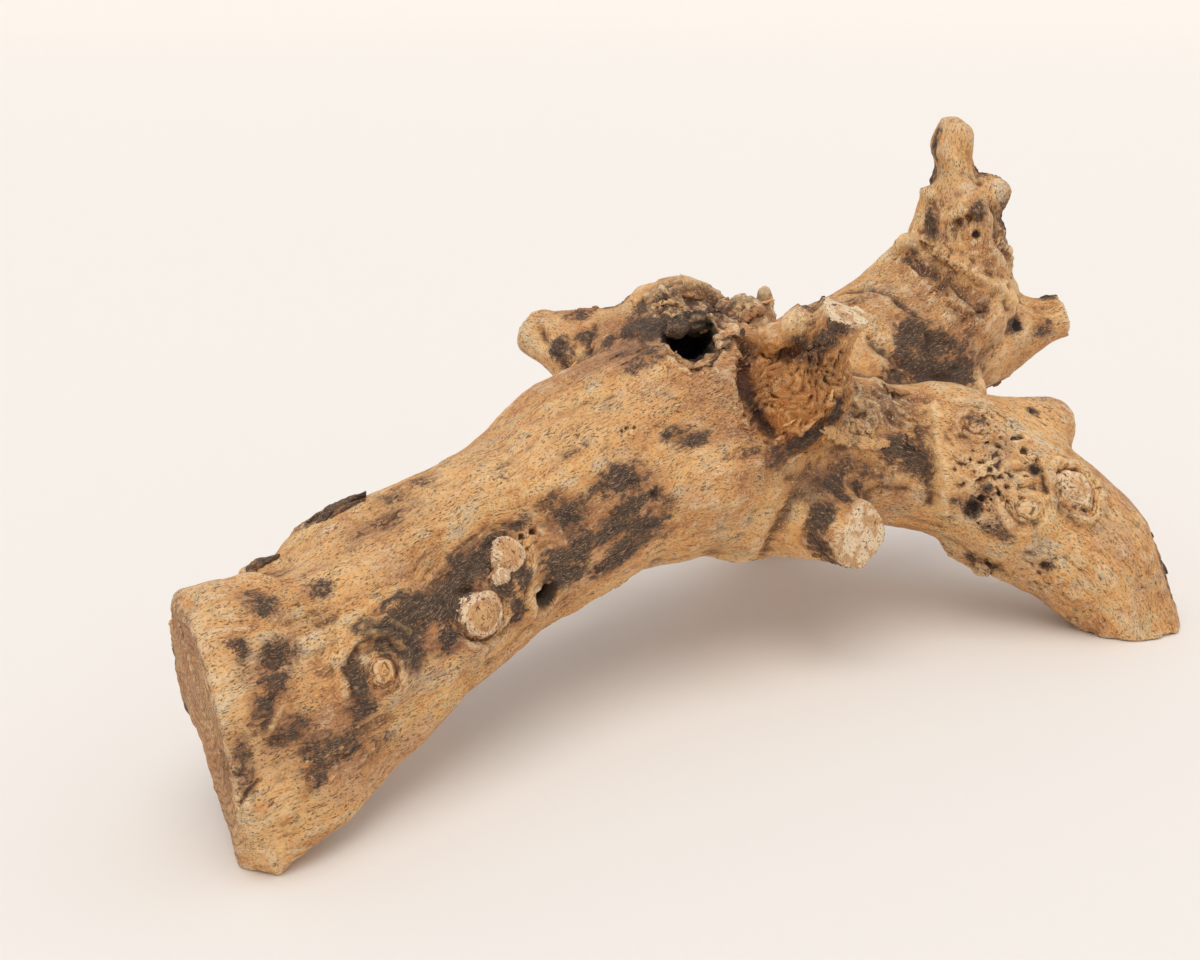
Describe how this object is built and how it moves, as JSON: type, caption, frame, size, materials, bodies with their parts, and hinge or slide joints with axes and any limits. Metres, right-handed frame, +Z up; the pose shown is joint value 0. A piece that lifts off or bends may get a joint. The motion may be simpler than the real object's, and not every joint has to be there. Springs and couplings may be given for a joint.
{
  "type": "decorative root",
  "caption": "Dry, bark-stripped mulberry root with a sawn trunk, a knotted junction, sawn stubs, an upright prong and low resting points, laid as decoration for an enclosure or a shelf.",
  "frame": {"origin": "middle of the underside of the bounding box, on the surface that the root stands on", "axes": "+X along the longest extent, from the sawn trunk end toward the prong and the legs; +Z up; +Y away from the side with the front stub"},
  "size_m": [0.4498, 0.2208, 0.2096],
  "materials": {
    "wood": "dry and matt, bark stripped, with dark residue in the hollows and paler saw cuts"
  },
  "bodies": {
    "root": {"mulberry_root": "wood"}
  },
  "joints": []
}
